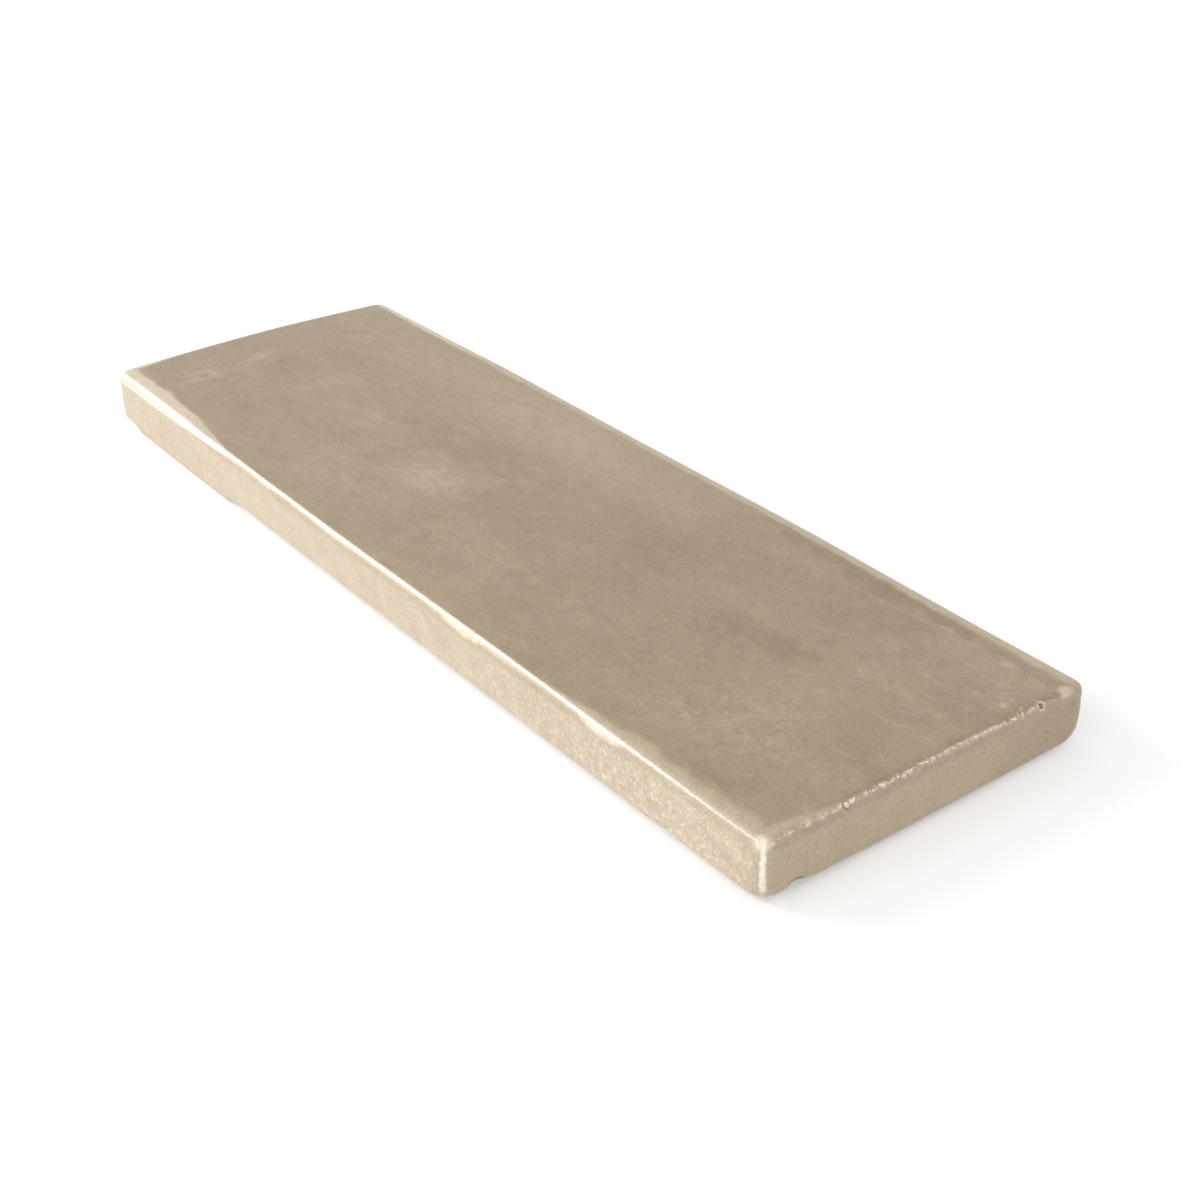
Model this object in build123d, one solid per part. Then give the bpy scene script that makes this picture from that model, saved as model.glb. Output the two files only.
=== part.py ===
from build123d import *
import math
import os

# Glazed ceramic wall tile with a hand-made look: one piece of pressed, fired clay.
# X runs along the tile, Y across it, Z up out of the glazed face; millimetres.
# The origin is the middle of the plane the tile rests on.

# Overall format
LENGTH = 200.0
WIDTH = 65.0
EDGE_HEIGHT = 10.8

# Hand-made outline: the sides belly out from the corners to the middle,
# and the corners of one end are rounder than those of the other
SIDE_BOW = 0.5
END_BOW = 0.25
TIGHT_CORNER_RADIUS = 1.6
ROUND_CORNER_RADIUS = 2.8

# Glazed face: crowned across the width and gently waved along and across
CROWN = 0.5
WAVE_HEIGHT = 0.14
WAVE_LENGTH = 92.0
WAVE_WIDTH = 78.0
WAVE_START = 2.2
FACE_OVERHANG = 4.0
FACE_ALONG_COUNT = 20
FACE_ACROSS_COUNT = 8
FACE_TOLERANCE = 0.002
EDGE_ROLL = 1.2

# Back: keying ribs and two edge pads stand on one plane, the back lies above it
RIB_HEIGHT = 0.65
RIB_COUNT = 5
RIB_WIDTH = 5.0
RIB_END_MARGIN = 18.0
RIB_SIDE_MARGIN = 9.0
PAD_LENGTH = 48.0
PAD_RUN_OUT = 5.0
PAD_END_MARGIN = 5.0
PAD_DEPTH = 4.5
FOOT_DRAFT = 0.25
BACK_EDGE_ROUND = 1.4

# Chips out of the lower edge: place along the edge, length along it, depth into it
SIDE_CHIP = (-45.5, 5.0, 0.6)
END_CHIP_STEEP = (-25.5, 6.5, 1.25)
END_CHIP_LONG = (-20.0, 14.0, 0.7)
END_CHIP_SHORT = (9.8, 4.0, 0.5)

half_length = LENGTH / 2
half_width = WIDTH / 2


def plan():
    """Outline of the tile from above, four bowed sides with rounded corners."""
    corner_x = half_length - END_BOW
    corner_y = half_width - SIDE_BOW
    front = ThreePointArc((-corner_x, -corner_y), (0, -half_width), (corner_x, -corner_y))
    right = ThreePointArc((corner_x, -corner_y), (half_length, 0), (corner_x, corner_y))
    back = ThreePointArc((corner_x, corner_y), (0, half_width), (-corner_x, corner_y))
    left = ThreePointArc((-corner_x, corner_y), (-half_length, 0), (-corner_x, -corner_y))
    face = make_face(Curve() + [front, right, back, left])
    face = fillet(face.vertices().group_by(Axis.X)[0], ROUND_CORNER_RADIUS)
    return fillet(face.vertices().group_by(Axis.X)[-1], TIGHT_CORNER_RADIUS)


def face_height(x, y):
    """Height of the glazed face above the rest plane."""
    crown = CROWN * (1 - (y / half_width) ** 2)
    along = math.sin(2 * math.pi * x / WAVE_LENGTH + WAVE_START)
    across = math.cos(2 * math.pi * y / WAVE_WIDTH)
    return EDGE_HEIGHT + crown + WAVE_HEIGHT * along * across


def spread(reach, steps):
    """Evenly spaced places from one side to the other."""
    return [-reach + 2 * reach * step / steps for step in range(steps + 1)]


def chip(place, along_end):
    """Shell-shaped chip: a ball that takes out the stated length and depth."""
    where, length, depth = place
    ball = (length**2 / 4 + depth**2) / (2 * depth)
    centre_z = RIB_HEIGHT + depth - ball
    if along_end:
        return Pos(half_length, where, centre_z) * Sphere(ball)
    return Pos(where, -half_width, centre_z) * Sphere(ball)


# Body: the outline drawn up past the face, then trimmed by the waved face
outline = plan()
rows = []
for y in spread(half_width + FACE_OVERHANG, FACE_ACROSS_COUNT):
    rows.append([(x, y, face_height(x, y)) for x in spread(half_length + FACE_OVERHANG, FACE_ALONG_COUNT)])
glazed_face = Face.make_surface_from_array_of_points(rows, tol=FACE_TOLERANCE)
blank = Pos(0, 0, RIB_HEIGHT) * extrude(outline, EDGE_HEIGHT + CROWN + FACE_OVERHANG)
body = split(blank, bisect_by=glazed_face, keep=Keep.TOP)

# Rolled edge round the glazed face, smaller round at the back
face_rim = body.faces().sort_by(Axis.Z)[-1].edges()
body = fillet(face_rim, EDGE_ROLL)
back_rim = body.faces().sort_by(Axis.Z)[0].edges()
body = fillet(back_rim, BACK_EDGE_ROUND)

# Keying ribs along the back
rib_plan = SlotOverall(LENGTH - 2 * RIB_END_MARGIN, RIB_WIDTH)
rib_pitch = (WIDTH - 2 * RIB_SIDE_MARGIN - RIB_WIDTH) / (RIB_COUNT - 1)
ribs = []
for number in range(RIB_COUNT):
    rib_y = (number - (RIB_COUNT - 1) / 2) * rib_pitch
    rib = extrude(Pos(0, rib_y, 0) * rib_plan, RIB_HEIGHT + FOOT_DRAFT)
    ribs.append(chamfer(rib.faces().sort_by(Axis.Z)[0].edges(), FOOT_DRAFT))

# Edge pads, one by each end on opposite sides, flush with the side and running out at both ends
pads = []
pad_height = RIB_HEIGHT + BACK_EDGE_ROUND
pad_start = PAD_END_MARGIN - half_length
pad_stop = pad_start + PAD_LENGTH
pad_profile = Polyline(
    (pad_start, pad_height),
    (pad_start + PAD_RUN_OUT, 0),
    (pad_stop - PAD_RUN_OUT, 0),
    (pad_stop, pad_height),
    close=True,
)
pad_block = Pos(0, -half_width, 0) * extrude(Plane.XZ * make_face(pad_profile), PAD_DEPTH, both=True)
for turn in (0, 180):
    pad = extrude(outline, pad_height) & (Rot(0, 0, turn) * pad_block)
    pads.append(chamfer(pad.faces().sort_by(Axis.Z)[0].edges(), FOOT_DRAFT))

tile = body + ribs + pads
tile = tile - chip(SIDE_CHIP, False)
for end_chip in (END_CHIP_STEEP, END_CHIP_LONG, END_CHIP_SHORT):
    tile = tile - chip(end_chip, True)

os.makedirs("parts", exist_ok=True)
export_step(tile, "parts/tile.step")
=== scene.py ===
import math

import bpy
from mathutils import Matrix, Vector


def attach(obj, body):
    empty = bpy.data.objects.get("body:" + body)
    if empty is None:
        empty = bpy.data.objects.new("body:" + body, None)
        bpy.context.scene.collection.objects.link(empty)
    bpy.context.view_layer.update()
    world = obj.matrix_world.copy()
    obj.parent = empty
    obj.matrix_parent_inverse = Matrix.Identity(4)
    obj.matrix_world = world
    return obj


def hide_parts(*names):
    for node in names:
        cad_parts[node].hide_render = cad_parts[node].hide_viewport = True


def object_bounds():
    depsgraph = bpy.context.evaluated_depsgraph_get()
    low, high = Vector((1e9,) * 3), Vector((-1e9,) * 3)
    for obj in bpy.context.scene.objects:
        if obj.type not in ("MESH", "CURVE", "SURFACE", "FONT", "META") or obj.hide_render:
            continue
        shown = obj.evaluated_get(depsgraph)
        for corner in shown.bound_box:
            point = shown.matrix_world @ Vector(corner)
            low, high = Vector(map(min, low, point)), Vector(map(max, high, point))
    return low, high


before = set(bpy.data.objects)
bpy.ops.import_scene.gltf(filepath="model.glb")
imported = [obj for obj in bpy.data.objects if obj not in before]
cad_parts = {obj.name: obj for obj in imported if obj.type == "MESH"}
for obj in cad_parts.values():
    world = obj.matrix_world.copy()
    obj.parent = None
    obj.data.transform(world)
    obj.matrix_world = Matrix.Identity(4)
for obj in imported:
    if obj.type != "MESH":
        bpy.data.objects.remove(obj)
cad_low, cad_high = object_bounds()


# Tile body
# One narrow wall tile, pressed from clay, glazed and fired in one piece.
# Its face is crowned and gently waved, its edges are rolled over by hand,
# and its bare back has keying ribs and two edge pads that it stands on.
MM = 0.001
LENGTH = cad_high.x - cad_low.x
BELLY_WIDTH = cad_high.y - cad_low.y
SIDE_BOW = 0.5 * MM
END_BOW = 0.25 * MM
BACK_HEIGHT = 0.65 * MM
EDGE_HEIGHT = 10.8 * MM
TIGHT_CORNER_RADIUS = 1.6 * MM
ROUND_CORNER_RADIUS = 2.8 * MM
EDGE_ROLL = 1.2 * MM
BACK_EDGE_ROUND = 1.4 * MM
SKIN_GRAIN = 0.5 * MM

half_length = LENGTH / 2
half_belly = BELLY_WIDTH / 2
corner_length = LENGTH - 2 * END_BOW
corner_width = BELLY_WIDTH - 2 * SIDE_BOW


def block(name, size, centre):
    """A cube at its size and place, the only thing selected."""
    bpy.ops.object.select_all(action="DESELECT")
    bpy.ops.mesh.primitive_cube_add(size=1, location=centre)
    made = bpy.context.object
    made.name = name
    made.scale = size
    bpy.ops.object.transform_apply(location=True, rotation=True, scale=True)
    return made


def pick_edges(piece, wanted):
    """Select in edit mode the edges whose two ends satisfy a test."""
    bpy.ops.object.mode_set(mode="EDIT")
    bpy.ops.mesh.select_mode(type="EDGE")
    bpy.ops.mesh.select_all(action="DESELECT")
    bpy.ops.object.mode_set(mode="OBJECT")
    points = piece.data.vertices
    for edge in piece.data.edges:
        edge.select = wanted(*(points[index].co for index in edge.vertices))
    bpy.ops.object.mode_set(mode="EDIT")


def round_edges(piece, wanted, radius, segments):
    """Round the picked edges over with a bevel."""
    pick_edges(piece, wanted)
    bpy.ops.mesh.bevel(offset=radius, segments=segments, affect="EDGES", clamp_overlap=True)
    bpy.ops.object.mode_set(mode="OBJECT")


def upright(a, b):
    return abs(a.z - b.z) > MM / 10


tile = block(
    "tile_body",
    (corner_length, corner_width, EDGE_HEIGHT - BACK_HEIGHT),
    (0, 0, (EDGE_HEIGHT + BACK_HEIGHT) / 2),
)
round_edges(tile, lambda a, b: upright(a, b) and a.x < 0, ROUND_CORNER_RADIUS, 10)
round_edges(tile, lambda a, b: upright(a, b) and a.x > half_length / 2, TIGHT_CORNER_RADIUS, 8)
round_edges(tile, lambda a, b: min(a.z, b.z) > EDGE_HEIGHT - MM / 10, EDGE_ROLL, 6)
round_edges(tile, lambda a, b: max(a.z, b.z) < BACK_HEIGHT + MM / 10, BACK_EDGE_ROUND, 5)

# Shell-shaped chips out of the lower edge: place along the edge, length and depth
SIDE_CHIP = (-45.5 * MM, 5.0 * MM, 0.6 * MM)
END_CHIPS = (
    (-25.5 * MM, 6.5 * MM, 1.25 * MM),
    (-20.0 * MM, 14.0 * MM, 0.7 * MM),
    (9.8 * MM, 4.0 * MM, 0.5 * MM),
)


def chip(where_x, where_y, length, depth):
    """Take a ball-shaped bite of a stated length and depth out of the lower edge."""
    radius = (length**2 / 4 + depth**2) / (2 * depth)
    bpy.ops.object.select_all(action="DESELECT")
    bpy.ops.mesh.primitive_ico_sphere_add(
        subdivisions=5, radius=radius, location=(where_x, where_y, BACK_HEIGHT + depth - radius)
    )
    bite = bpy.context.object
    bpy.context.view_layer.objects.active = tile
    cut = tile.modifiers.new("chip", "BOOLEAN")
    cut.object = bite
    cut.operation = "DIFFERENCE"
    bpy.ops.object.modifier_apply(modifier="chip")
    bpy.data.objects.remove(bite)


chip(SIDE_CHIP[0], -corner_width / 2, SIDE_CHIP[1], SIDE_CHIP[2])
for chip_y, chip_length, chip_depth in END_CHIPS:
    chip(corner_length / 2, chip_y, chip_length, chip_depth)

# Keying ribs and edge pads of the back, sunk a little into the body
RIB_COUNT = 5
RIB_WIDTH = 5.0 * MM
RIB_END_MARGIN = 18.0 * MM
RIB_SIDE_MARGIN = 9.0 * MM
PAD_LENGTH = 48.0 * MM
PAD_RUN_OUT = 5.0 * MM
PAD_END_MARGIN = 5.0 * MM
PAD_DEPTH = 4.0 * MM
SINK = 1.4 * MM

feet = []
rib_pitch = (BELLY_WIDTH - 2 * RIB_SIDE_MARGIN - RIB_WIDTH) / (RIB_COUNT - 1)
for number in range(RIB_COUNT):
    rib_y = (number - (RIB_COUNT - 1) / 2) * rib_pitch
    rib = block(
        "rib",
        (LENGTH - 2 * RIB_END_MARGIN, RIB_WIDTH, BACK_HEIGHT + SINK),
        (0, rib_y, (BACK_HEIGHT + SINK) / 2),
    )
    round_edges(rib, upright, RIB_WIDTH * 0.49, 6)
    feet.append(rib)
pad_x = half_length - PAD_END_MARGIN - PAD_LENGTH / 2
for hand in (-1, 1):
    pad = block(
        "pad",
        (PAD_LENGTH, PAD_DEPTH, BACK_HEIGHT + SINK),
        (hand * pad_x, hand * (corner_width - PAD_DEPTH) / 2, (BACK_HEIGHT + SINK) / 2),
    )
    bpy.ops.object.mode_set(mode="EDIT")
    bpy.ops.mesh.select_all(action="DESELECT")
    bpy.ops.object.mode_set(mode="OBJECT")
    for point in pad.data.vertices:
        point.select = point.co.z < MM / 10
    bpy.ops.object.mode_set(mode="EDIT")
    bpy.ops.transform.resize(
        value=(1 - 2 * PAD_RUN_OUT / PAD_LENGTH, 1, 1), center_override=(hand * pad_x, 0, 0)
    )
    bpy.ops.object.mode_set(mode="OBJECT")
    feet.append(pad)
bpy.ops.object.select_all(action="DESELECT")
for foot in feet:
    foot.select_set(True)
tile.select_set(True)
bpy.context.view_layer.objects.active = tile
bpy.ops.object.join()

# One skin over the body, its ribs and its pads
skin = tile.modifiers.new("skin", "REMESH")
skin.mode = "VOXEL"
skin.voxel_size = SKIN_GRAIN
bpy.ops.object.modifier_apply(modifier="skin")
settle = tile.modifiers.new("settle", "SMOOTH")
settle.factor = 0.5
settle.iterations = 4
bpy.ops.object.modifier_apply(modifier="settle")

# The flat of the back needs fewer faces than the glazed skin
BACK_SHARE = 0.12
bpy.ops.object.mode_set(mode="EDIT")
bpy.ops.mesh.select_mode(type="FACE")
bpy.ops.mesh.select_all(action="DESELECT")
bpy.ops.object.mode_set(mode="OBJECT")
for face in tile.data.polygons:
    face.select = face.normal.z < -0.5 and face.center.z < BACK_HEIGHT + MM / 5
bpy.ops.object.mode_set(mode="EDIT")
bpy.ops.mesh.decimate(ratio=BACK_SHARE)
bpy.ops.object.mode_set(mode="OBJECT")


def belly(axis, reach, stretch):
    """Belly the outline out from the corners to the middle of two sides."""
    bpy.ops.object.mode_set(mode="EDIT")
    bpy.ops.mesh.select_mode(type="VERT")
    bpy.ops.mesh.select_all(action="DESELECT")
    bpy.ops.object.mode_set(mode="OBJECT")
    for point in tile.data.vertices:
        point.select = abs(point.co[axis]) < SKIN_GRAIN
    bpy.ops.object.mode_set(mode="EDIT")
    bpy.ops.transform.resize(
        value=stretch,
        center_override=(0, 0, 0),
        use_proportional_edit=True,
        proportional_edit_falloff="INVERSE_SQUARE",
        proportional_size=reach,
    )
    bpy.ops.object.mode_set(mode="OBJECT")


belly(0, half_length, (1, BELLY_WIDTH / corner_width, 1))
belly(1, half_belly, (LENGTH / corner_length, 1, 1))


def ramp(value, start, end):
    """Smooth step from 0 at start to 1 at end."""
    share = min(1.0, max(0.0, (value - start) / (end - start)))
    return share * share * (3 - 2 * share)


def shape_skin(name, weight, height, direction="Z", grain=None):
    """Paint a weight on the skin by place, then raise or sink the skin by it."""
    group = tile.vertex_groups.new(name=name)
    for point in tile.data.vertices:
        share = weight(point.co, point.normal)
        if share > 0.0:
            group.add([point.index], min(share, 1.0), "REPLACE")
    lift = tile.modifiers.new(name, "DISPLACE")
    lift.vertex_group = name
    lift.direction = direction
    lift.strength = height
    lift.texture = grain
    lift.texture_coords = "LOCAL"
    lift.mid_level = 0.5 if grain else 0.0
    bpy.ops.object.modifier_apply(modifier=name)
    tile.vertex_groups.remove(tile.vertex_groups[name])


def cloud(name, size, depth):
    """Soft lumps of a stated size for the glaze to run over."""
    soft = bpy.data.textures.new(name, "CLOUDS")
    soft.noise_scale = size
    soft.noise_depth = depth
    return soft


def rise_share(place):
    """How far up the body a point is: the back stays flat, the face takes all."""
    return ramp(place.z, BACK_HEIGHT + EDGE_ROLL, EDGE_HEIGHT - EDGE_ROLL)


CROWN = 0.5 * MM
WAVE_HEIGHT = 0.14 * MM
WAVE_LENGTH = 92.0 * MM
WAVE_WIDTH = 78.0 * MM
WAVE_START = 2.2


def crown_share(place, normal):
    return max(0.0, 1 - (place.y / half_belly) ** 2) * rise_share(place)


def wave_share(place, normal):
    along = math.sin(2 * math.pi * place.x / WAVE_LENGTH + WAVE_START)
    across = math.cos(2 * math.pi * place.y / WAVE_WIDTH)
    return (1 + along * across) / 2 * rise_share(place)


shape_skin("crown", crown_share, CROWN - WAVE_HEIGHT)
shape_skin("waves", wave_share, 2 * WAVE_HEIGHT)


def edge_gap(place):
    """Distance in from the bellied long side, whichever is nearer."""
    return half_belly - SIDE_BOW * (place.x / half_length) ** 2 - abs(place.y)


def roll_width(place):
    """The near edge is rolled over broadly by the far end, and tightly elsewhere."""
    if place.y < 0 and place.x < 0:
        return (0.9 + 2.6 * ramp(-place.x, 42 * MM, 72 * MM)) * MM
    return (0.9 + 0.5 * ramp(abs(place.x), 42 * MM, 72 * MM)) * MM


def long_roll_share(place, normal):
    return (1 - ramp(edge_gap(place), 0.3 * MM, roll_width(place))) * rise_share(place)


def end_roll_share(place, normal):
    return (1 - ramp(half_length - abs(place.x), 0.3 * MM, 2.0 * MM)) * rise_share(place)


WIPED_FLAT = 1.4 * MM


def wiped_share(place, normal):
    """The near edge is wiped off flat, half way over, towards the far end."""
    flat = WIPED_FLAT * (1 - ramp(place.x, -84 * MM, -30 * MM))
    if place.y > 0 or flat < MM / 10:
        return 0.0
    off = max(edge_gap(place), EDGE_HEIGHT - place.z)
    return max(0.0, 1 - off / flat) * flat / WIPED_FLAT


def low_corner_share(place, normal):
    """The lower corners of the front end are worn round."""
    off = math.hypot(half_length - place.x, edge_gap(place), place.z - BACK_HEIGHT)
    return max(0.0, 1 - off / (4.5 * MM)) ** 2


shape_skin("long_roll", long_roll_share, -0.35 * MM)
shape_skin("end_roll", end_roll_share, -0.12 * MM)
shape_skin("wiped_down", wiped_share, -WIPED_FLAT / 2)
shape_skin("wiped_in", wiped_share, WIPED_FLAT / 2, "Y")
shape_skin("low_corners", low_corner_share, -1.0 * MM, "NORMAL")


def face_share(place, normal):
    return ramp(normal.z, 0.5, 0.9)


def side_share(place, normal):
    return (1 - ramp(abs(normal.z), 0.2, 0.6)) * ramp(place.z, BACK_HEIGHT, 2.5 * MM)


def front_share(place, normal):
    return side_share(place, normal) * ramp(place.x, 40 * MM, 85 * MM)


shape_skin("face_lumps", face_share, 0.22 * MM, "Z", cloud("face_lumps", 26 * MM, 1))
shape_skin("face_ripple", face_share, 0.05 * MM, "Z", cloud("face_ripple", 7 * MM, 1))
shape_skin("side_lumps", side_share, 0.25 * MM, "NORMAL", cloud("side_lumps", 14 * MM, 1))
shape_skin("front_pits", front_share, 0.10 * MM, "NORMAL", cloud("front_pits", 1.3 * MM, 0))

# The front rim boils over into beads, with one whole bubble, one burst, and a crater by that
RIM_START = 98 * MM
RIM_FOOT = 9 * MM
bpy.ops.object.mode_set(mode="EDIT")
bpy.ops.mesh.select_mode(type="FACE")
bpy.ops.mesh.select_all(action="DESELECT")
bpy.ops.object.mode_set(mode="OBJECT")
for face in tile.data.polygons:
    face.select = face.center.x > RIM_START - MM / 5 and face.center.z > RIM_FOOT
bpy.ops.object.mode_set(mode="EDIT")
bpy.ops.mesh.subdivide(number_cuts=2, smoothness=0.6)
bpy.ops.object.mode_set(mode="OBJECT")


def rounding(normal):
    """1 where the skin turns over an edge, 0 on the flats."""
    return ramp(sorted(abs(part) for part in normal)[1], 0.25, 0.6)


def bead_share(place, normal):
    if place.x < RIM_START or place.z < RIM_FOOT:
        return 0.0
    along = ramp(place.y, -30 * MM, -26 * MM) * (1 - ramp(place.y, 19 * MM, 24 * MM))
    return along * rounding(normal)


def rim_point(y):
    """The point of the front rim at a stated y where the skin is turned half over."""
    half_over = Vector((1, 0, 1)).normalized()
    on_rim = []
    for point in tile.data.vertices:
        if abs(point.co.y - y) < MM / 2 and point.co.x > RIM_START and point.co.z > RIM_FOOT:
            on_rim.append(point)
    return max(on_rim, key=lambda point: point.normal.dot(half_over)).co.copy()


def spot(centre, inner, outer):
    """Weight that falls from 1 inside one radius to 0 at another."""
    return lambda place, normal: 1 - ramp((place - centre).length, inner, outer)


beads = bpy.data.textures.new("beads", "VORONOI")
beads.noise_scale = 0.9 * MM
shape_skin("beads", bead_share, -0.16 * MM, "NORMAL", beads)
burst = rim_point(21.4 * MM)
shape_skin("burst_lip", spot(burst, 0.6 * MM, 1.1 * MM), 0.14 * MM, "NORMAL")
shape_skin("burst_hole", spot(burst, 0.25 * MM, 0.55 * MM), -0.7 * MM, "NORMAL")
bubble = rim_point(-17.4 * MM)
shape_skin("bubble", spot(bubble, 0.15 * MM, 0.6 * MM), 0.3 * MM, "NORMAL")
crater = rim_point(18.6 * MM)
shape_skin("crater", spot(crater, 0.5 * MM, 1.8 * MM), -0.35 * MM, "NORMAL")

# The steep chip is broken in a little deeper above its middle
CHIP_BREAK = Vector((99.8, -25.8, 1.9)) * MM
shape_skin("chip_break", spot(CHIP_BREAK, 0.4 * MM, 1.5 * MM), -0.3 * MM, "X")

# How far the skin is turned over, kept on the mesh for the glaze
edges = tile.data.attributes.new("edge", "FLOAT", "POINT")
edges.data.foreach_set("value", [rounding(point.normal) for point in tile.data.vertices])

bpy.ops.object.shade_smooth()
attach(tile, "root")
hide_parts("tile")


# Glaze of the tile
# A satin beige glaze, poured and fired once. It lies thick and dark on the face,
# breaks thin and pale over the rolled edges and sides, and stops at the back,
# where the fired clay is bare. Painted highlights, glints and shade are laid into its colour as well.
glaze = bpy.data.materials.new("satin_beige_glaze")
glaze.use_nodes = True
tree = glaze.node_tree
tree.nodes.clear()


def add(kind, *feeds, **settings):
    """A node with its settings, its inputs fed in order by links or values."""
    node = tree.nodes.new(kind)
    for name, value in settings.items():
        setattr(node, name, value)
    for socket, feed in zip(node.inputs, feeds):
        if isinstance(feed, bpy.types.NodeSocket):
            tree.links.new(feed, socket)
        elif feed is not None:
            socket.default_value = feed
    return node


def sums(operation, *feeds):
    return add("ShaderNodeMath", *feeds, operation=operation).outputs[0]


def step_up(value, start, end):
    """Smooth step from 0 at start to 1 at end."""
    node = add("ShaderNodeMapRange", value, start, end, 0.0, 1.0, interpolation_type="SMOOTHSTEP")
    return node.outputs[0]


def lumps(size, detail, roughness=0.5, where=None):
    """Noise centred on 0, with lumps of a stated size in millimetres."""
    node = add("ShaderNodeTexNoise", noise_dimensions="3D")
    tree.links.new(where or place_mm, node.inputs["Vector"])
    node.inputs["Scale"].default_value = 1 / size
    node.inputs["Detail"].default_value = detail
    node.inputs["Roughness"].default_value = roughness
    return sums("SUBTRACT", node.outputs[0], 0.5)


def shade(red, green, blue):
    """A colour as the eye sees it, 0 to 255, for a shader socket."""
    lit = []
    for part in (red, green, blue):
        part = part / 255
        lit.append(part / 12.92 if part <= 0.04045 else ((part + 0.055) / 1.055) ** 2.4)
    return (*lit, 1.0)


def blend(share, first, second):
    """Mix two colours by a mask."""
    node = add("ShaderNodeMix", data_type="RGBA")
    for socket, feed in zip((node.inputs[0], node.inputs[6], node.inputs[7]), (share, first, second)):
        if isinstance(feed, bpy.types.NodeSocket):
            tree.links.new(feed, socket)
        else:
            socket.default_value = feed
    return node.outputs[2]


place_mm = add("ShaderNodeVectorMath", add("ShaderNodeTexCoord").outputs["Object"], operation="SCALE")
place_mm.inputs["Scale"].default_value = 1000
place_mm = place_mm.outputs[0]
x_mm, y_mm, z_mm = add("ShaderNodeSeparateXYZ", place_mm).outputs
off_x = sums("ABSOLUTE", x_mm)
off_y = sums("ABSOLUTE", y_mm)

drawn_out = add("ShaderNodeVectorMath", place_mm, (0.55, 1.0, 1.0), operation="MULTIPLY").outputs[0]

# A pale band inside the edges, broad by the near corners, streaky at the front: partly where the glaze runs
# thin, partly painted light where the edge slopes towards the lamps
near = sums("SUBTRACT", 1.0, step_up(y_mm, -1.0, 1.0))
toward_front = step_up(x_mm, 42.0, 80.0)
toward_far_end = sums("SUBTRACT", 1.0, step_up(x_mm, -80.0, -44.0))
wander = lumps(9.0, 2.0)
streaks = lumps(3.0, 4.0, 0.65, drawn_out)
belly_drop = sums("MULTIPLY", sums("POWER", sums("DIVIDE", x_mm, half_length / MM), 2.0), SIDE_BOW / MM)
side_gap = sums("SUBTRACT", sums("SUBTRACT", half_belly / MM, belly_drop), off_y)
end_gap = sums("SUBTRACT", half_length / MM, off_x)
near_band = sums("ADD", sums("MULTIPLY", toward_front, 2.6), sums("MULTIPLY", toward_far_end, 3.4))
far_band = sums("ADD", 1.9, sums("MULTIPLY", toward_front, 0.5))
long_band = sums("ADD", 0.8, sums("MULTIPLY", near_band, near))
long_band = sums("ADD", long_band, sums("MULTIPLY", far_band, sums("SUBTRACT", 1.0, near)))
steady = sums("SUBTRACT", 1.0, sums("MULTIPLY", step_up(x_mm, 20.0, 55.0), 0.6))
long_band = sums("ADD", long_band, sums("MULTIPLY", wander, steady))
ragged = sums("MULTIPLY", streaks, sums("ADD", 0.6, sums("MULTIPLY", toward_front, 0.7)))
band_edge = sums("ADD", sums("DIVIDE", side_gap, long_band), ragged)
band_start = sums("SUBTRACT", 0.8, sums("MULTIPLY", toward_front, 0.2))
band_end = sums("ADD", 1.1, sums("MULTIPLY", toward_front, 0.1))
long_thin_and_lit = sums("SUBTRACT", 1.0, step_up(band_edge, band_start, band_end))
near_corner = sums("SUBTRACT", 1.0, step_up(y_mm, -31.0, -12.0))
end_band = sums("ADD", sums("ADD", 0.7, sums("MULTIPLY", near_corner, 2.6)), sums("MULTIPLY", wander, 1.4))
end_thin_and_lit = sums("SUBTRACT", 1.0, step_up(sums("DIVIDE", end_gap, end_band), 0.6, 1.2))
thin_and_lit_band = sums("MAXIMUM", long_thin_and_lit, end_thin_and_lit)
side = sums("SUBTRACT", 1.0, step_up(z_mm, EDGE_HEIGHT / MM - 2.4, EDGE_HEIGHT / MM - 0.9))
bare = sums("SUBTRACT", 1.0, step_up(sums("ADD", z_mm, sums("MULTIPLY", wander, 0.5)), 0.75, 1.05))

GLAZE_THICK = shade(161, 143, 117)
GLAZE_POOL_AND_SHADE = shade(146, 128, 102)
GLAZE_PALE_CLOUD = shade(173, 155, 129)
GLAZE_SMUDGE = shade(185, 168, 142)
GLAZE_FLECK = shade(196, 180, 155)
GLAZE_BAND = shade(192, 175, 149)
GLAZE_THIN = shade(209, 193, 169)
GLAZE_SIDE = shade(202, 186, 162)
GLAZE_END = shade(207, 188, 158)
GLAZE_END_FAR = shade(176, 157, 128)
# The break and cream colours also carry painted highlights and glints on edges, rim and pits
GLAZE_BREAK_AND_HIGHLIGHT = shade(250, 242, 224)
GLAZE_CREAM_AND_HIGHLIGHT = shade(252, 240, 212)
GLAZE_CORNER = shade(255, 249, 229)
BUBBLE_HOLE_SHADE = shade(104, 86, 62)
FIRED_CLAY = shade(214, 195, 168)
FIRED_CLAY_DARK = shade(194, 172, 143)
CLAY_SCUFFED = shade(230, 213, 188)
CHIP_SHADOW = shade(136, 117, 92)


def smudge(centre_x, centre_y, reach_x, reach_y):
    """A soft ragged patch on the face, about its centre, in millimetres."""
    along = sums("DIVIDE", sums("SUBTRACT", x_mm, centre_x), reach_x)
    across = sums("DIVIDE", sums("SUBTRACT", y_mm, centre_y), reach_y)
    far = sums("SQRT", sums("ADD", sums("MULTIPLY", along, along), sums("MULTIPLY", across, across)))
    far = sums("ADD", far, sums("MULTIPLY", wander, 1.2))
    far = sums("ADD", far, sums("MULTIPLY", streaks, 2.4))
    return sums("SUBTRACT", 1.0, step_up(far, 0.1, 1.5))


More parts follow.
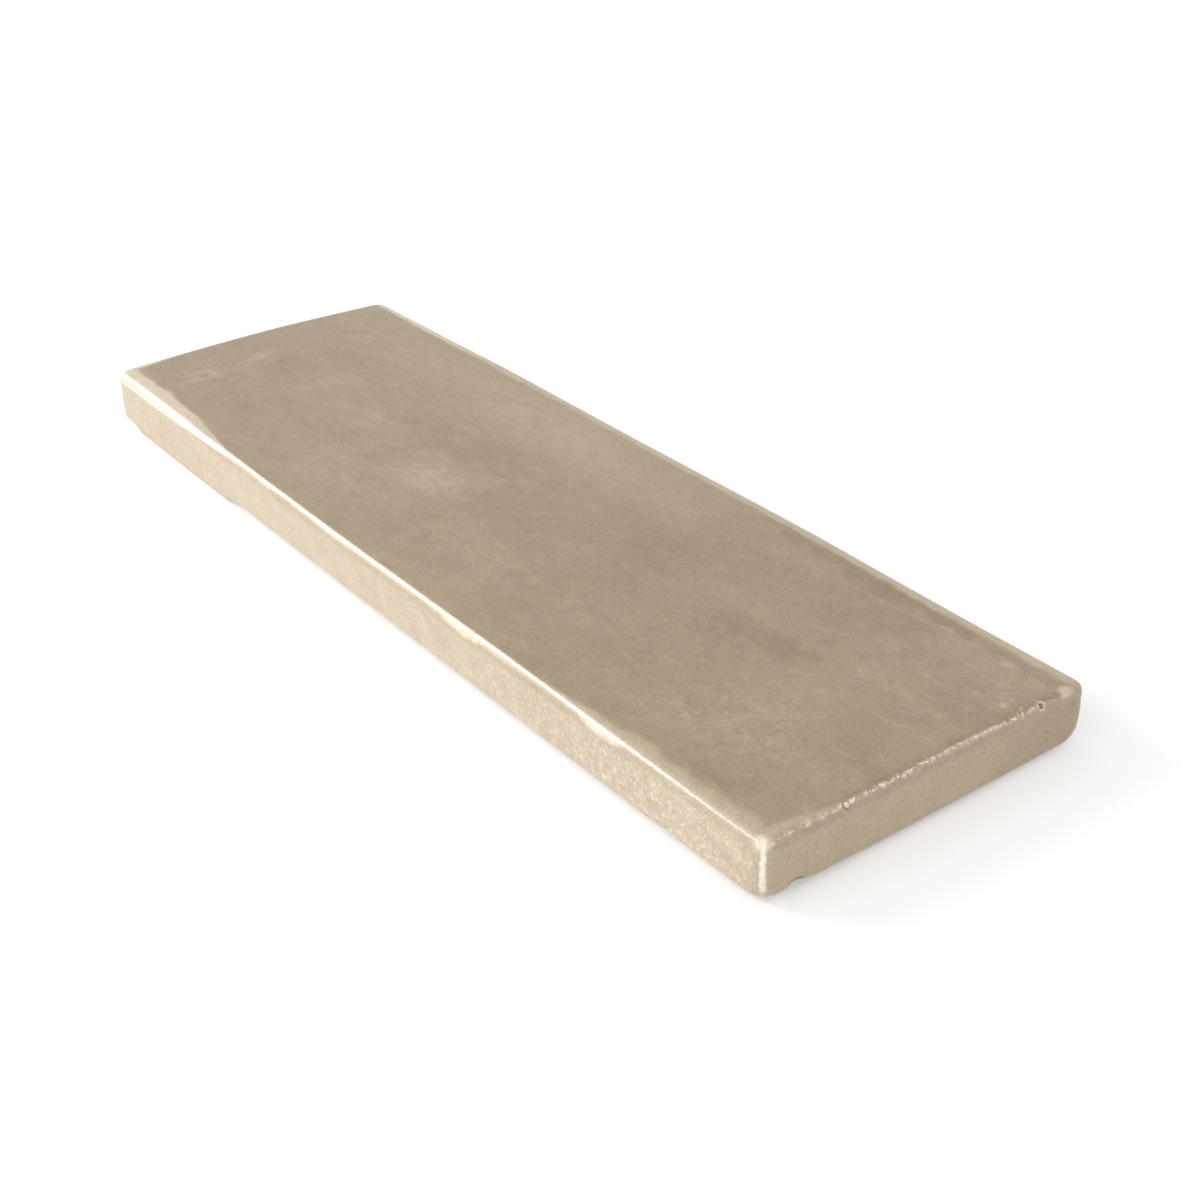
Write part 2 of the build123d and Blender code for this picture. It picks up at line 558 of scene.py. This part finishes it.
clouds = step_up(lumps(13.0, 4.0, 0.6, drawn_out), -0.22, 0.26)
face_colour = blend(clouds, GLAZE_THICK, GLAZE_PALE_CLOUD)
mottle = sums("MULTIPLY", streaks, sums("ADD", 0.4, sums("MULTIPLY", toward_front, 0.35)))
face_colour = blend(step_up(mottle, 0.0, 0.35), face_colour, GLAZE_SMUDGE)
face_colour = blend(step_up(sums("MULTIPLY", mottle, -1.0), 0.0, 0.35), face_colour, GLAZE_POOL_AND_SHADE)
# Places of the patches: centre along and across, reach along and across, strength
PALE_CLOUDS = ((-30.0, 22.0, 45.0, 9.0, 0.55), (78.0, -7.0, 12.0, 7.0, 0.35), (-16.3, -8.1, 9.0, 6.0, 0.7))
for centre_x, centre_y, reach_x, reach_y, strength in PALE_CLOUDS:
    mask = sums("MULTIPLY", smudge(centre_x, centre_y, reach_x, reach_y), strength)
    face_colour = blend(mask, face_colour, GLAZE_SMUDGE)
PALE_FLECKS = ((-16.3, -8.1, 8.0, 5.0, 0.5), (94.0, 20.5, 2.4, 1.6, 0.9),
               (90.0, 26.0, 8.0, 2.0, 0.6), (78.0, -16.0, 14.0, 9.0, 0.3),
               (97.6, 17.6, 2.0, 2.4, 0.9))
crumbs = step_up(lumps(1.7, 3.0, 0.65), -0.04, 0.14)
for centre_x, centre_y, reach_x, reach_y, strength in PALE_FLECKS:
    mask = sums("MULTIPLY", smudge(centre_x, centre_y, reach_x, reach_y), strength)
    face_colour = blend(sums("MULTIPLY", mask, crumbs), face_colour, GLAZE_FLECK)
PALE_STREAKS = ((-85.5, -18.8, 2.8, 4.2, 1.0), (-86.6, -6.3, 3.6, 4.6, 0.7))
drawn_across = add("ShaderNodeVectorMath", place_mm, (1.0, 0.6, 1.0), operation="MULTIPLY").outputs[0]
wisps = step_up(lumps(2.4, 3.0, 0.6, drawn_across), -0.14, 0.16)
for centre_x, centre_y, reach_x, reach_y, strength in PALE_STREAKS:
    mask = sums("MULTIPLY", smudge(centre_x, centre_y, reach_x, reach_y), strength)
    face_colour = blend(sums("MULTIPLY", mask, wisps), face_colour, GLAZE_FLECK)
DARK_SMUDGES = ((62.0, 1.5, 12.0, 3.0, 0.5), (-25.0, 3.5, 14.0, 6.0, 0.3), (66.0, 28.0, 30.0, 2.4, 0.7),
                (88.0, -12.0, 7.0, 14.0, 0.08), (-95.0, 5.0, 60.0, 45.0, 0.35),
                (35.0, 2.0, 60.0, 30.0, 0.25))
for centre_x, centre_y, reach_x, reach_y, strength in DARK_SMUDGES:
    mask = sums("MULTIPLY", smudge(centre_x, centre_y, reach_x, reach_y), strength)
    face_colour = blend(mask, face_colour, GLAZE_POOL_AND_SHADE)
# The band's colour: thin glaze together with painted light on the sloping edge
band_colour = blend(toward_far_end, GLAZE_BAND, GLAZE_THIN)
face_colour = blend(thin_and_lit_band, face_colour, band_colour)
side_colour = blend(step_up(lumps(4.0, 4.0), -0.2, 0.25), GLAZE_SIDE, GLAZE_THIN)
by_ends = sums("MAXIMUM", toward_far_end, step_up(x_mm, 90.0, 96.0))
side_colour = blend(sums("MULTIPLY", by_ends, 0.4), side_colour, GLAZE_BAND)
colour = blend(side, face_colour, side_colour)
on_end = sums("MULTIPLY", side, step_up(off_x, 98.6, 99.3))
colour = blend(sums("MULTIPLY", on_end, 0.8), colour, GLAZE_END)
# The end face is darker towards its far side
end_darker_far = sums("MULTIPLY", on_end, sums("MULTIPLY", step_up(y_mm, 2.0, 30.0), 0.6))
colour = blend(end_darker_far, colour, GLAZE_END_FAR)

# Turned-over edges, where the glaze breaks to cream, with a painted highlight and painted glints laid into
# that cream:
# in beads along the front rim, which run together into a line in one stretch of it
turned = add("ShaderNodeAttribute", attribute_name="edge").outputs["Fac"]
run_together = sums("MULTIPLY", step_up(y_mm, 1.0, 4.0), sums("SUBTRACT", 1.0, step_up(y_mm, 13.0, 15.5)))
faint = sums("MAXIMUM", sums("SUBTRACT", 1.0, step_up(y_mm, -26.0, -20.0)), step_up(y_mm, 22.0, 23.0))
fleck_lift = sums("SUBTRACT", sums("MULTIPLY", run_together, 0.2), sums("MULTIPLY", faint, 0.22))
flecks = step_up(sums("ADD", lumps(0.75, 2.0), fleck_lift), 0.0, 0.1)
front_rim = sums("MULTIPLY", step_up(x_mm, 98.0, 98.8), step_up(z_mm, 9.4, 9.8))
narrow = sums("POWER", turned, 2.0)
# Cream flecks along the front rim, partly painted glints
rim_cream_and_glints = sums("MULTIPLY", sums("MULTIPLY", narrow, flecks), front_rim)
rim_cream_and_glints = sums("MULTIPLY", rim_cream_and_glints, sums("SUBTRACT", 0.65, sums("MULTIPLY", run_together, 0.3)))
soft_flecks = sums("MULTIPLY", step_up(lumps(1.6, 2.0), -0.06, 0.08), front_rim)
soft_flecks = sums("MULTIPLY", soft_flecks, sums("SUBTRACT", 1.0, step_up(y_mm, -21.0, -17.5)))
rim_cream_and_glints = sums("MAXIMUM", rim_cream_and_glints, sums("MULTIPLY", sums("MULTIPLY", soft_flecks, turned), 0.45))
colour = blend(rim_cream_and_glints, colour, GLAZE_CREAM_AND_HIGHLIGHT)
off_front = sums("SUBTRACT", 1.0, sums("MAXIMUM", front_rim, on_end))
# Painted highlight along the turned edges, over the cream of the glaze break
edge_cream_and_highlight = sums("MULTIPLY", sums("POWER", turned, 3.0), off_front)
edge_cream_and_highlight = sums("MULTIPLY", edge_cream_and_highlight, sums("SUBTRACT", 0.7, sums("MULTIPLY", toward_far_end, 0.1)))
fading = sums("MULTIPLY", step_up(x_mm, 20.0, 80.0), 0.75)
edge_cream_and_highlight = sums("MULTIPLY", edge_cream_and_highlight, sums("SUBTRACT", 1.0, fading))
colour = blend(sums("MULTIPLY", edge_cream_and_highlight, sums("SUBTRACT", 1.0, bare)), colour, GLAZE_BREAK_AND_HIGHLIGHT)
# Painted highlights just under the near edge: place along it, reach along it and down the side
NEAR_EDGE_HIGHLIGHTS = ((29.5, 7.0, 1.5), (64.5, 6.0, 1.7))
on_near = sums("SUBTRACT", 1.0, step_up(y_mm, -31.9, -31.4))
for patch_x, reach_along, reach_down in NEAR_EDGE_HIGHLIGHTS:
    along = sums("DIVIDE", sums("SUBTRACT", x_mm, patch_x), reach_along)
    down = sums("DIVIDE", sums("SUBTRACT", EDGE_HEIGHT / MM, z_mm), reach_down)
    far = sums("SQRT", sums("ADD", sums("MULTIPLY", along, along), sums("MULTIPLY", down, down)))
    far = sums("ADD", far, sums("MULTIPLY", streaks, 1.4))
    highlight_patch = sums("MULTIPLY", sums("SUBTRACT", 1.0, step_up(far, 0.6, 1.1)), on_near)
    colour = blend(sums("MULTIPLY", highlight_patch, 0.7), colour, GLAZE_CREAM_AND_HIGHLIGHT)
# Painted highlights at the top of the near front corner and on the rim by the far corner
near_tip_highlight = add("ShaderNodeVectorMath", place_mm, (98.6, -31.2, 10.3), operation="DISTANCE").outputs["Value"]
near_tip_highlight = sums("SUBTRACT", 1.0, step_up(sums("ADD", near_tip_highlight, wander), 0.5, 2.0))
colour = blend(sums("MULTIPLY", near_tip_highlight, 0.7), colour, GLAZE_CREAM_AND_HIGHLIGHT)
far_rim_highlight = sums("MULTIPLY", smudge(99.2, 27.5, 1.0, 1.1), step_up(z_mm, 9.6, 10.2))
colour = blend(sums("MULTIPLY", far_rim_highlight, 0.6), colour, GLAZE_CREAM_AND_HIGHLIGHT)

# The burst bubble: a pale lip round a dark hole, the lip partly painted highlight, the hole painted shade
from_burst = add("ShaderNodeVectorMath", place_mm, tuple(burst / MM), operation="DISTANCE").outputs["Value"]
lip_cream_and_highlight = sums("SUBTRACT", 1.0, step_up(sums("ADD", from_burst, lumps(0.6, 1.0)), 0.55, 0.9))
colour = blend(sums("MULTIPLY", lip_cream_and_highlight, 0.65), colour, GLAZE_CREAM_AND_HIGHLIGHT)
hole_shade = sums("SUBTRACT", 1.0, step_up(from_burst, 0.34, 0.52))
colour = blend(hole_shade, colour, BUBBLE_HOLE_SHADE)

# A whole bubble near the other end of the rim: a pale bead in a dark ring, painted highlight on the bead and
# painted shade round it
from_bubble = add("ShaderNodeVectorMath", place_mm, tuple(bubble / MM), operation="DISTANCE").outputs["Value"]
shade_ring = sums("SUBTRACT", 1.0, step_up(from_bubble, 0.5, 0.8))
colour = blend(sums("MULTIPLY", shade_ring, 0.8), colour, GLAZE_POOL_AND_SHADE)
bead_highlight = sums("SUBTRACT", 1.0, step_up(from_bubble, 0.35, 0.5))
colour = blend(sums("MULTIPLY", bead_highlight, 0.8), colour, GLAZE_CREAM_AND_HIGHLIGHT)

# A cream line down each upright corner, broader towards the foot of it
from_mid = sums("SUBTRACT", sums("SUBTRACT", end_gap, side_gap), 0.35)
from_mid = sums("ADD", from_mid, sums("MULTIPLY", lumps(1.4, 2.0), 0.8))
line_width = sums("ADD", 0.45, sums("MULTIPLY", sums("SUBTRACT", 10.0, z_mm), 0.06))
corner_line = sums("SUBTRACT", 1.0, step_up(sums("DIVIDE", sums("ABSOLUTE", from_mid), line_width), 0.5, 1.4))
on_corner = sums("MULTIPLY", step_up(z_mm, 2.2, 3.2), sums("SUBTRACT", 1.0, step_up(end_gap, 0.9, 1.4)))
colour = blend(sums("MULTIPLY", corner_line, on_corner), colour, GLAZE_CORNER)

# Painted shadow inside the steep chip
along = sums("DIVIDE", sums("ADD", y_mm, 25.9), 2.0)
down = sums("SUBTRACT", z_mm, 1.9)
far = sums("SQRT", sums("ADD", sums("MULTIPLY", along, along), sums("MULTIPLY", down, down)))
chip_shadow = sums("SUBTRACT", 1.0, step_up(sums("ADD", far, lumps(1.2, 2.0)), 0.5, 1.0))
chip_shadow = sums("MULTIPLY", chip_shadow, step_up(x_mm, 96.0, 97.0))
colour = blend(sums("MULTIPLY", chip_shadow, 0.85), colour, CHIP_SHADOW)

# Bare clay of the back, scuffed pale on the feet that the tile stands on
clay_colour = blend(step_up(lumps(1.6, 4.0), -0.5, 0.5), FIRED_CLAY_DARK, FIRED_CLAY)
scuffed = sums("SUBTRACT", 1.0, step_up(z_mm, 0.1, 0.3))
clay_colour = blend(sums("MULTIPLY", scuffed, 0.8), clay_colour, CLAY_SCUFFED)
colour = blend(bare, colour, clay_colour)

# Fine grain in the fired glaze, coarser and sugary on the near side by the front
near_side = sums("MULTIPLY", side, sums("SUBTRACT", 1.0, step_up(y_mm, -31.0, -30.0)))
near_side = sums("MULTIPLY", near_side, step_up(end_gap, 0.5, 1.5))
sugar = sums("MULTIPLY", near_side, step_up(x_mm, 10.0, 70.0))
grain = sums("ADD", sums("MULTIPLY", lumps(2.6, 3.0, 0.6), 0.26), sums("MULTIPLY", lumps(0.5, 2.0), 0.44))
grain = sums("ADD", grain, sums("MULTIPLY", sums("MULTIPLY", sugar, lumps(0.9, 2.0)), 0.45))
grain = sums("ADD", 1.0, grain)
# Painted glints: pale rings and specks on the pits of the near side
comma_glints = sums("SUBTRACT", 1.0, step_up(sums("ABSOLUTE", lumps(0.8, 1.0)), 0.02, 0.08))
comma_glints = sums("MULTIPLY", comma_glints, step_up(lumps(1.1, 1.0), 0.03, 0.1))
comma_glints = sums("MULTIPLY", comma_glints, sums("MULTIPLY", near_side, step_up(x_mm, -10.0, 85.0)))
colour = blend(sums("MULTIPLY", comma_glints, 0.4), colour, GLAZE_BREAK_AND_HIGHLIGHT)
speckled = add("ShaderNodeVectorMath", colour, operation="SCALE")
tree.links.new(grain, speckled.inputs["Scale"])

gloss = sums("ADD", 0.22, sums("MULTIPLY", lumps(6.0, 3.0), 0.12))
gloss = sums("SUBTRACT", gloss, sums("MULTIPLY", turned, 0.10))
gloss = sums("ADD", gloss, sums("MULTIPLY", bare, 0.55))
peel = sums("ADD", sums("MULTIPLY", lumps(1.3, 2.0), 0.6), sums("MULTIPLY", lumps(0.4, 1.0), 0.15))
peel = sums("ADD", peel, sums("MULTIPLY", sugar, sums("MULTIPLY", lumps(0.8, 2.0), 3.0)))
dimple = add("ShaderNodeBump")
dimple.inputs["Strength"].default_value = 1.0
dimple.inputs["Distance"].default_value = 0.05 * MM
tree.links.new(peel, dimple.inputs["Height"])

surface = add("ShaderNodeBsdfPrincipled")
tree.links.new(speckled.outputs[0], surface.inputs["Base Color"])
tree.links.new(gloss, surface.inputs["Roughness"])
tree.links.new(dimple.outputs[0], surface.inputs["Normal"])
sheen = sums("ADD", 0.28, sums("MULTIPLY", toward_front, 0.3))
sheen = sums("SUBTRACT", sheen, sums("MULTIPLY", toward_far_end, 0.22))
sheen = sums("SUBTRACT", sheen, sums("MULTIPLY", front_rim, 0.4))
sheen = sums("MULTIPLY", turned, sheen)
tree.links.new(sums("ADD", 0.22, sheen), surface.inputs["Specular IOR Level"])
surface.inputs["IOR"].default_value = 1.5
output = add("ShaderNodeOutputMaterial", surface.outputs[0])
tile.data.materials.clear()
tile.data.materials.append(glaze)


# Floor
# A plain matt white table that the tile lies on. It carries the soft shadow
# and looks white from above, as the room behind it does.
FLOOR_SIZE = 6.0
bpy.ops.object.select_all(action="DESELECT")
bpy.ops.mesh.primitive_plane_add(size=FLOOR_SIZE, location=(0, 0, 0))
floor = bpy.context.object
floor.name = "floor"
seen_white = bpy.data.node_groups.new("seen_white", "ShaderNodeTree")
seen_white.interface.new_socket("Seen", in_out="OUTPUT", socket_type="NodeSocketFloat")
tree = seen_white
rays = add("ShaderNodeLightPath")
seen = sums("MAXIMUM", rays.outputs["Is Camera Ray"], rays.outputs["Is Glossy Ray"])
add("NodeGroupOutput", sums("MAXIMUM", seen, rays.outputs["Is Transmission Ray"]))
table = bpy.data.materials.new("white_table")
table.use_nodes = True
tree = table.node_tree
tree.nodes.clear()
seen = add("ShaderNodeGroup", node_tree=seen_white).outputs[0]
matt = add("ShaderNodeBsdfDiffuse", (0.8, 0.8, 0.8, 1.0))
from_tile = add("ShaderNodeVectorMath", add("ShaderNodeTexCoord").outputs["Object"], operation="LENGTH")
glow_level = sums("ADD", 0.34, sums("MULTIPLY", step_up(from_tile.outputs["Value"], 0.3, 1.0), 0.4))
glow = add("ShaderNodeEmission", (1.0, 1.0, 1.0, 1.0), sums("MULTIPLY", seen, glow_level))
both = add("ShaderNodeAddShader", matt.outputs[0], glow.outputs[0])
add("ShaderNodeOutputMaterial", both.outputs[0])
floor.data.materials.append(table)


# Light
# Soft studio light: a white room, two softboxes beyond the far end of the near side,
# which draw the bright line along its edge, one facing the near side, and a small one
# behind the tile for the glints on the front rim.
AMBIENT = 0.62
room = bpy.data.worlds.new("white_room")
bpy.context.scene.world = room
room.use_nodes = True
tree = room.node_tree
tree.nodes.clear()
seen = add("ShaderNodeGroup", node_tree=seen_white).outputs[0]
level = sums("ADD", AMBIENT, sums("MULTIPLY", seen, 1.0 - AMBIENT))
sky = add("ShaderNodeBackground", (1.0, 1.0, 1.0, 1.0), level)
add("ShaderNodeOutputWorld", sky.outputs[0])


def softbox(name, direction, distance, size, power):
    """A square softbox facing the tile from a direction."""
    lamp = bpy.data.lights.new(name, "AREA")
    lamp.shape = "SQUARE"
    lamp.size = size
    lamp.energy = power
    stand = bpy.data.objects.new(name, lamp)
    bpy.context.collection.objects.link(stand)
    away = Vector(direction).normalized()
    facing = away.to_track_quat("Z", "Y").to_matrix().to_4x4()
    stand.matrix_world = Matrix.Translation(away * distance) @ facing


softbox("left_box", (-0.80, -0.44, 0.40), 1.0, 0.42, 2.3)
softbox("edge_box", (-0.66, -0.56, 0.50), 1.0, 0.34, 2.8)
softbox("near_box", (0.05, -0.92, 0.36), 1.0, 0.70, 3.1)
softbox("back_box", (0.48, 0.52, 0.67), 1.0, 0.16, 0.9)


# Camera
# Stands beyond the front end and looks down along the tile, from the place
# of the photograph's own camera.
CAMERA_PLACE = Vector((236.72, -160.96, 157.06)) * MM
CAMERA_AIM = Vector((36.11, -10.20, 10.84)) * MM
CAMERA_ROLL = math.radians(-0.67)
FOCAL_LENGTH = 54.57
eye = bpy.data.cameras.new("camera")
eye.lens = FOCAL_LENGTH
eye.sensor_width = 36.0
eye.clip_start = 0.01
camera = bpy.data.objects.new("camera", eye)
bpy.context.collection.objects.link(camera)
turn = (CAMERA_AIM - CAMERA_PLACE).to_track_quat("-Z", "Y").to_matrix().to_4x4()
camera.matrix_world = Matrix.Translation(CAMERA_PLACE) @ turn @ Matrix.Rotation(CAMERA_ROLL, 4, "Z")
bpy.context.scene.camera = camera
bpy.context.scene.view_settings.view_transform = "Standard"
